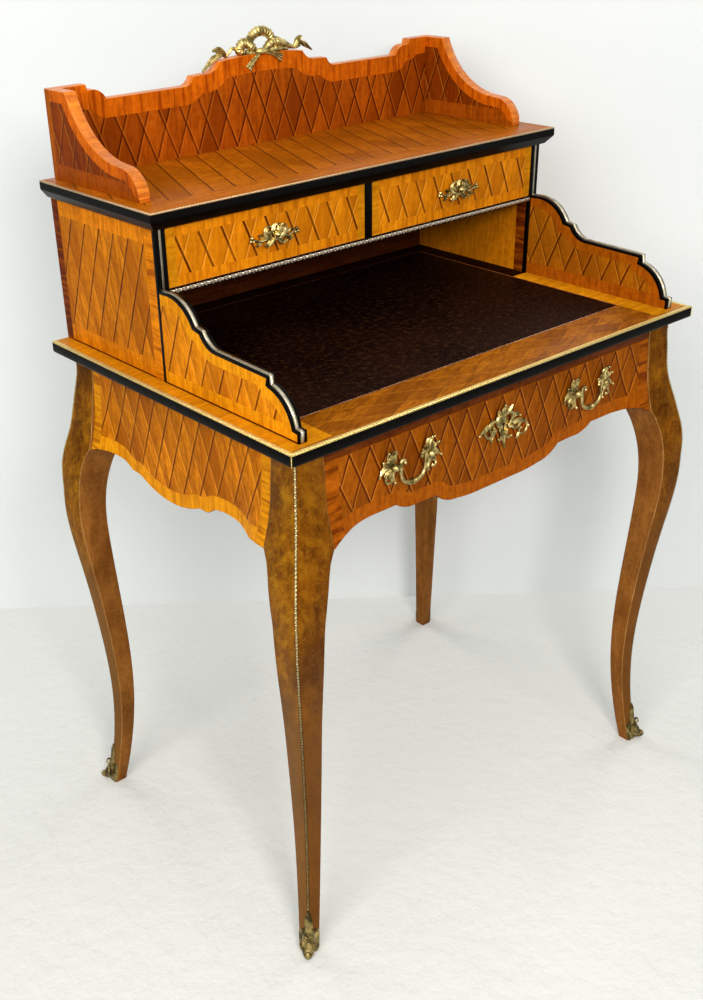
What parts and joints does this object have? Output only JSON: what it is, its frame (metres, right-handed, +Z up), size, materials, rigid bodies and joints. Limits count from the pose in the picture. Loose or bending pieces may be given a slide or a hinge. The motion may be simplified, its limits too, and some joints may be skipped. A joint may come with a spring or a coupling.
{
  "type": "bonheur du jour writing desk",
  "caption": "Small lady's writing desk on cabriole legs, with a leather writing top, a frieze drawer and a stepped galleried case of drawers at the back.",
  "frame": {"origin": "on the floor, under the middle of the desk", "axes": "+Z up, front of the desk towards -Y, +X to the desk's right as seen from the front"},
  "size_m": [0.7496, 0.5316, 1.112],
  "materials": {
    "lattice": "polished tulipwood lattice parquetry with crossbanded borders",
    "leg_veneer": "polished mottled veneer",
    "gallery_veneer": "polished red-brown lattice parquetry",
    "ebonised": "ebonised, semi-gloss",
    "case_wood": "stained and polished",
    "drawer_wood": "plain oak",
    "leather": "grained dark leather",
    "gilt_brass": "aged gilt",
    "lock_iron": "bright iron gone dull"
  },
  "bodies": {
    "desk": {"apron_back": "case_wood", "apron_left": "lattice", "apron_right": "lattice", "case_back": "case_wood", "case_deck": "case_wood", "case_divider": "ebonised", "case_side_left": "lattice", "case_side_right": "lattice", "case_stiles": "ebonised", "deck_brass_bead": "gilt_brass", "drawer_guides": "case_wood", "foot_sabots": "gilt_brass", "front_top_rail": "case_wood", "gallery_back": "gallery_veneer", "gallery_crest": "gilt_brass", "gallery_left": "gallery_veneer", "gallery_right": "gallery_veneer", "leg_back_left": "leg_veneer", "leg_back_right": "leg_veneer", "leg_brass_strips": "gilt_brass", "leg_front_left": "leg_veneer", "leg_front_right": "leg_veneer", "shelf_board": "lattice", "shelf_brass_strips": "gilt_brass", "shelf_edge_mouldings": "ebonised", "stile_brass_fillets": "gilt_brass", "table_top": "lattice", "top_brass_strips": "gilt_brass", "top_edge_mouldings": "ebonised", "wing_brass_fillets": "gilt_brass", "wing_left": "lattice", "wing_lip_left": "ebonised", "wing_lip_right": "ebonised", "wing_right": "lattice", "writing_leather": "leather"},
    "frieze_drawer": {"frieze_drawer_front": "lattice", "frieze_drawer_left_side": "drawer_wood", "frieze_drawer_right_side": "drawer_wood", "frieze_drawer_back": "drawer_wood", "frieze_drawer_floor": "drawer_wood", "frieze_lock": "lock_iron", "frieze_escutcheon": "gilt_brass", "handle_posts_left": "gilt_brass", "handle_posts_right": "gilt_brass", "handle_nuts": "lock_iron"},
    "lock_tongue": {"frieze_lock_tongue": "lock_iron"},
    "bail_left": {"handle_bail_left": "gilt_brass"},
    "bail_right": {"handle_bail_right": "gilt_brass"},
    "upper_left_drawer": {"upper_left_drawer_front": "lattice", "upper_left_drawer_outer_side": "drawer_wood", "upper_left_drawer_inner_side": "drawer_wood", "upper_left_drawer_back": "drawer_wood", "upper_left_drawer_floor": "drawer_wood", "upper_left_drawer_pull": "gilt_brass"},
    "upper_right_drawer": {"upper_right_drawer_front": "lattice", "upper_right_drawer_outer_side": "drawer_wood", "upper_right_drawer_inner_side": "drawer_wood", "upper_right_drawer_back": "drawer_wood", "upper_right_drawer_floor": "drawer_wood", "upper_right_drawer_pull": "gilt_brass"}
  },
  "joints": [
    {"name": "frieze_drawer_slide", "type": "slide", "parent": "desk", "child": "frieze_drawer", "axis": [0, -1, 0], "range_m": [0, 0.3]},
    {"name": "lock_tongue_throw", "type": "slide", "parent": "frieze_drawer", "child": "lock_tongue", "axis": [0, 0, 1], "range_m": [0, 0.007]},
    {"name": "left_bail_hinge", "type": "hinge", "parent": "frieze_drawer", "child": "bail_left", "pos_m": [-0.167, -0.242, 0.679], "axis": [-1, 0, 0], "range_deg": [0, 80]},
    {"name": "right_bail_hinge", "type": "hinge", "parent": "frieze_drawer", "child": "bail_right", "pos_m": [0.167, -0.242, 0.679], "axis": [-1, 0, 0], "range_deg": [0, 80]},
    {"name": "upper_left_drawer_slide", "type": "slide", "parent": "desk", "child": "upper_left_drawer", "axis": [0, -1, 0], "range_m": [0, 0.15]},
    {"name": "upper_right_drawer_slide", "type": "slide", "parent": "desk", "child": "upper_right_drawer", "axis": [0, -1, 0], "range_m": [0, 0.15]}
  ]
}
